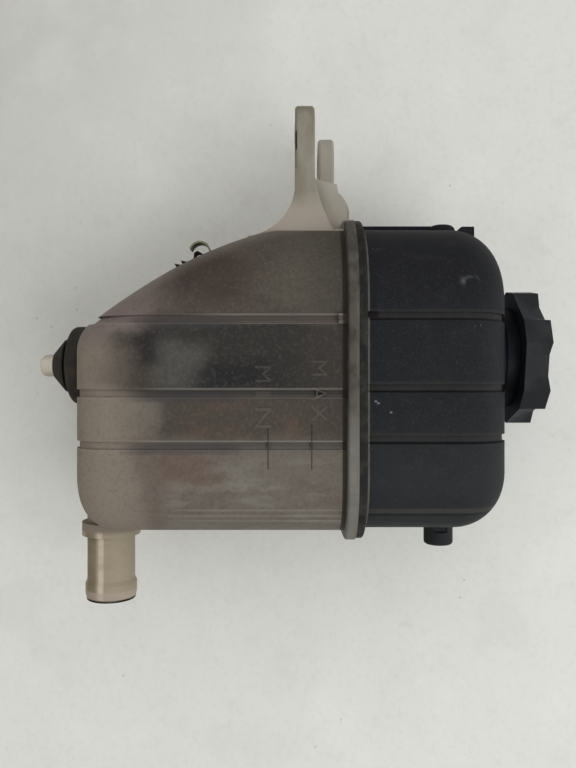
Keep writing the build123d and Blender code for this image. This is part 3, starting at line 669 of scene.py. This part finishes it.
def addSolids(name, solids, finish):
    # solids are pairs of points in millimetres and their faces, joined into one piece
    faces = []
    start = 0
    for points, polygons in solids:
        faces += [[start + corner for corner in polygon] for polygon in polygons]
        start += len(points)
    joined = np.concatenate([points for points, _ in solids]) / perMetre
    mesh = bpy.data.meshes.new(name)
    mesh.from_pydata(joined.tolist(), [], faces)
    mesh.materials.append(finish)
    piece = bpy.data.objects.new(name, mesh)
    bpy.context.scene.collection.objects.link(piece)
    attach(piece, "tank")


def placed(unit, spanX, spanZ, proud, sizes):
    # unit solid to its place on the near face: x along the word, y up the letter, z outwards
    x = spanX[0] + unit[:, 0] * (spanX[1] - spanX[0])
    z = spanZ[0] + unit[:, 1] * (spanZ[1] - spanZ[0])
    y = sizes["face"] + sizes["depth"] - unit[:, 2] * (sizes["depth"] + proud)
    return np.stack([x, y, z], 1)


def addLetters(sizes):
    letters = []
    for word, spans in sizes["letterSpans"].items():
        foot = sizes["letterFoot"][word]
        height = (foot, foot + sizes["letterHeight"])
        for letter, span, sunk in zip(word, spans, sizes["letterSunk"][word]):
            unit, polygons = letterMesh(letter)
            points = placed(unit, span, height, sizes["proud"] - sunk, sizes)
            letters.append((points, polygons))
    finish = stainedPlastic("letterPlastic", stainedShell, sizes["letterStains"])
    addSolids("levelLetters", letters, finish)


def addRules(sizes):
    # each rule is a thin box, from the corners and faces of a unit cube
    cube = np.array([[i, j, k] for i in (0, 1) for j in (0, 1) for k in (0, 1)], float)
    box = [[0, 1, 3, 2], [4, 6, 7, 5], [0, 4, 5, 1], [2, 3, 7, 6], [0, 2, 6, 4], [1, 5, 7, 3]]
    half = sizes["ruleWidth"] / 2
    rules = []
    for middle, start in sizes["rules"]:
        spanX = (start, sizes["ruleEnd"])
        spanZ = (middle - half, middle + half)
        rules.append((placed(cube, spanX, spanZ, sizes["ruleProud"], sizes), box))
    finish = stainedPlastic("rulePlastic", stainedShell, sizes["ruleStains"])
    addSolids("levelRules", rules, finish)


addLetters(levelMarks)
addRules(levelMarks)
print("level marks added")


paper = {
    "noises": {
        "sweep": {"grain": 120, "detail": 3, "roughness": 0.6},
        "scuff": {"grain": 26, "detail": 5, "roughness": 0.7, "seed": 4.0},
        "haze": {"grain": 60, "detail": 4, "roughness": 0.6, "seed": 9.0},
        "fibre": {"grain": 3, "detail": 4, "roughness": 0.7, "seed": 6.0},
        "sparse": {"grain": 50, "detail": 1, "seed": 3.0},
    },
    "sweepReach": 160,
    "specks": {"spacing": 17, "radius": 1.0, "seed": 2.0},
    "base": "#bfbfba",
    "stains": {
        # sweep: painted light, paler towards +x and +z where the key light stands
        "sweep": ("#d1d1cd", 1.0),
        "scuffs": ("#b9b8b2", 0.35),
        "paleHaze": ("#e2e2de", 0.2),
        "darkHaze": ("#b9b8b2", 0.16),
        "fibres": ("#b5b3ad", 0.14),
        "specks": ("#98968f", 0.4),
    },
    "roughness": 0.7,
}


def paperFinish(name, sizes):
    # clear from its far side and to shadow rays, so that it doesn't hide or darken the tank
    f = Finish(name)
    noise = f.noises(sizes["noises"])
    # painted light falloff: darker towards -x and -z, with a noisy edge
    sweep = f.x + f.z + (noise["sweep"] - 0.5) * sizes["sweepReach"]
    zones = {
        "sweep": sweep.ramp(-240, -40),
        "scuffs": noise["scuff"].ramp(0.56, 0.8),
        "paleHaze": noise["haze"].ramp(0.5, 0.68),
        "darkHaze": noise["haze"].fall(0.36, 0.48),
        "fibres": noise["fibre"].fall(0.36, 0.5),
        "specks": f.specks(**sizes["specks"]) * noise["sparse"].ramp(0.5, 0.56),
    }
    colour = f.paint(sizes["base"], sizes["stains"], zones)
    inputs = {"Base Color": colour, "Roughness": sizes["roughness"]}
    shader = f.add("BsdfPrincipled", inputs=inputs)
    behind = f.add("NewGeometry", output="Backfacing")
    behind = behind.maths("MAXIMUM", f.add("LightPath", output="Is Shadow Ray"))
    clear = f.add("BsdfTransparent")
    return f.finishWith(f.add("MixShader", inputs={0: behind, 1: shader, 2: clear}))


stageSizes = {  # in metres
    "wallY": 0.0615,
    "reach": 3.0,
    "floorZ": -0.062,
}


def addStage(sizes):
    # a sheet close behind the tank and a floor under it
    finish = paperFinish("paleSurface", paper)
    far = sizes["reach"]
    y = sizes["wallY"]
    z = sizes["floorZ"]
    sheets = {
        "backWall": [(-far, y, z), (far, y, z), (far, y, far), (-far, y, far)],
        "paleFloor": [(-far, -far, z), (far, -far, z), (far, far, z), (-far, far, z)],
    }
    for name, corners in sheets.items():
        mesh = bpy.data.meshes.new(name)
        mesh.from_pydata(corners, [], [(0, 1, 2, 3)])
        mesh.materials.append(finish)
        sheet = bpy.data.objects.new(name, mesh)
        bpy.context.scene.collection.objects.link(sheet)


lights = {  # places and sizes in metres
    "keyLight": {"place": (0.5, -1.1, 0.65), "size": 0.9, "watts": 7.0},
    "fillLight": {"place": (-0.7, -1.1, 0.0), "size": 1.2, "watts": 4.5},
    "topLight": {"place": (0.0, -0.2, 1.4), "size": 1.2, "watts": 4.4},
    "backLight": {"place": (0.2, 1.3, 0.6), "size": 1.4, "watts": 5.5},
}
room = {
    "aim": (0.0, 0.0, 0.1),
    "up": (0.0, 0.001, 1.0),
    "colour": (1.0, 1.0, 1.0, 1.0),
    "strength": 0.585,
}


def addLight(name, place, size, watts):
    # a round lamp whose -Z points from its place to the aim
    lamp = bpy.data.lights.new(name, "AREA")
    lamp.shape = "DISK"
    lamp.size = size
    lamp.energy = watts
    holder = bpy.data.objects.new(name, lamp)
    direction = np.array(room["aim"]) - np.array(place)
    direction /= np.linalg.norm(direction)
    side = np.cross(direction, room["up"])
    side /= np.linalg.norm(side)
    axes = np.stack([side, np.cross(side, direction), -direction], 1)
    rows = [list(axes[row]) + [place[row]] for row in range(3)]
    holder.matrix_world = Matrix(rows + [[0, 0, 0, 1]])
    bpy.context.scene.collection.objects.link(holder)


def addWorld(sizes):
    world = bpy.data.worlds.new("softRoom")
    world.use_nodes = True
    background = world.node_tree.nodes["Background"]
    background.inputs["Color"].default_value = sizes["colour"]
    background.inputs["Strength"].default_value = sizes["strength"]
    bpy.context.scene.world = world


cameraSizes = {  # place and nearest in metres, sensor in millimetres
    "place": (0.0092, -0.365, 0.108),
    "focalPixels": 730.0,
    "framePixels": 576.0,
    "sensor": 36.0,
    "nearest": 0.01,
}


def addCamera(sizes):
    # looks along +Y, turned so that the tank's +Z points to the right of the picture
    camera = bpy.data.cameras.new("photoCamera")
    camera.sensor_fit = "HORIZONTAL"
    camera.sensor_width = sizes["sensor"]
    camera.lens = sizes["focalPixels"] * sizes["sensor"] / sizes["framePixels"]
    camera.clip_start = sizes["nearest"]
    holder = bpy.data.objects.new("photoCamera", camera)
    x, y, z = sizes["place"]
    holder.matrix_world = Matrix([(0, -1, 0, x), (0, 0, -1, y), (1, 0, 0, z), (0, 0, 0, 1)])
    bpy.context.scene.collection.objects.link(holder)
    bpy.context.scene.camera = holder


addStage(stageSizes)
for name, lamp in lights.items():
    addLight(name, **lamp)
addWorld(room)
addCamera(cameraSizes)
bpy.context.scene.view_settings.view_transform = "Standard"
print("stage, lights and camera set")
